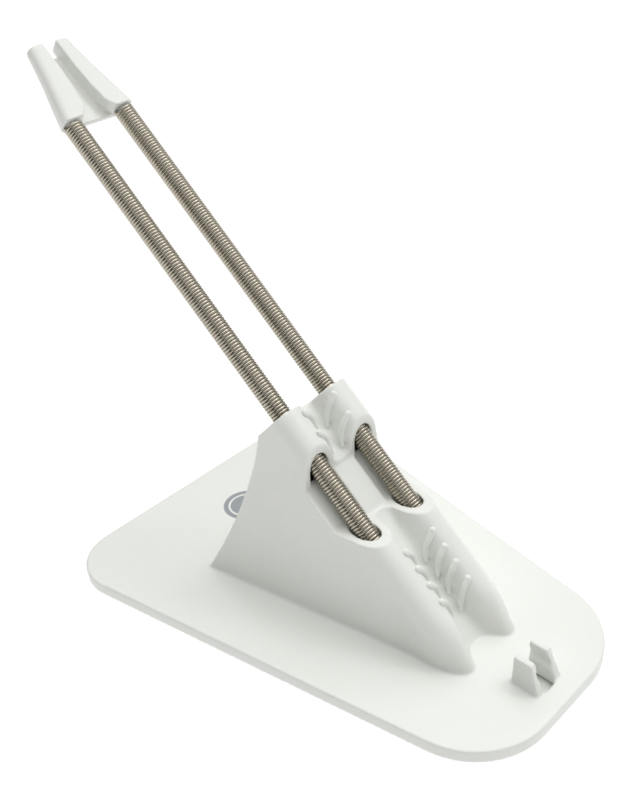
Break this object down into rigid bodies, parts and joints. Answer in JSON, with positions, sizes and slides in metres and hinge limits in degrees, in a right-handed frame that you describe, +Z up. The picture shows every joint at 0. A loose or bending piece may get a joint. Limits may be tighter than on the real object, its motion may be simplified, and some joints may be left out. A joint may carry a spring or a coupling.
{
  "type": "mouse cord holder",
  "caption": "White desk stand with a weighted tapering base and a wedge tower; closely wound steel springs carry a grooved head that holds a mouse cord up, and jaws grip it behind.",
  "frame": {"origin": "centre of the whole object's footprint, on the surface that its feet stand on", "axes": "+Z up; +Y from the wide front end, which the arm leans over, to the narrow end with the jaws; +X to the right of someone who stands at the front and looks along +Y"},
  "size_m": [0.0954, 0.1643, 0.1282],
  "materials": {
    "white_abs": "injection moulded, satin",
    "grey_abs": "injection moulded, matte",
    "spring_wire": "nickel-plated drawn wire",
    "plated_steel": "zinc-plated",
    "ballast_steel": "sawn bar, unfinished",
    "black_rubber": "moulded, matte"
  },
  "bodies": {
    "root": {"top_shell": "white_abs", "bottom_cover": "white_abs", "ballast_block": "ballast_steel", "cover_screw_front_left": "plated_steel", "cover_screw_front_right": "plated_steel", "cover_screw_rear": "plated_steel", "foot_front_left": "black_rubber", "foot_front_right": "black_rubber", "foot_rear_left": "black_rubber", "foot_rear_right": "black_rubber", "spring_plug_left": "grey_abs", "plug_screw_left": "plated_steel", "spring_left_seat": "spring_wire", "spring_plug_right": "grey_abs", "plug_screw_right": "plated_steel", "spring_right_seat": "spring_wire"},
    "arm_lower": {"spring_left_lower": "spring_wire", "spring_right_lower": "spring_wire"},
    "arm_middle": {"spring_left_middle": "spring_wire", "spring_right_middle": "spring_wire"},
    "arm_upper": {"spring_left_upper": "spring_wire", "spring_right_upper": "spring_wire", "cord_head": "white_abs"}
  },
  "joints": [
    {"name": "arm_sway", "type": "hinge", "parent": "root", "child": "arm_lower", "pos_m": [0, 0.00349, 0.05286], "axis": [0, 0.66, 0.7513], "range_deg": [-15, 15], "stiffness_Nm_per_rad": 0.3},
    {"name": "arm_bend_lower", "type": "hinge", "parent": "arm_lower", "child": "arm_middle", "pos_m": [0, -0.01229, 0.06672], "axis": [1, 0, 0], "range_deg": [-20, 20], "stiffness_Nm_per_rad": 0.3},
    {"name": "arm_bend_upper", "type": "hinge", "parent": "arm_middle", "child": "arm_upper", "pos_m": [0, -0.03633, 0.08784], "axis": [1, 0, 0], "range_deg": [-20, 20], "stiffness_Nm_per_rad": 0.3}
  ],
  "couplings": [
    {"joint": "arm_bend_upper", "follows": "arm_bend_lower", "ratio": 1}
  ]
}
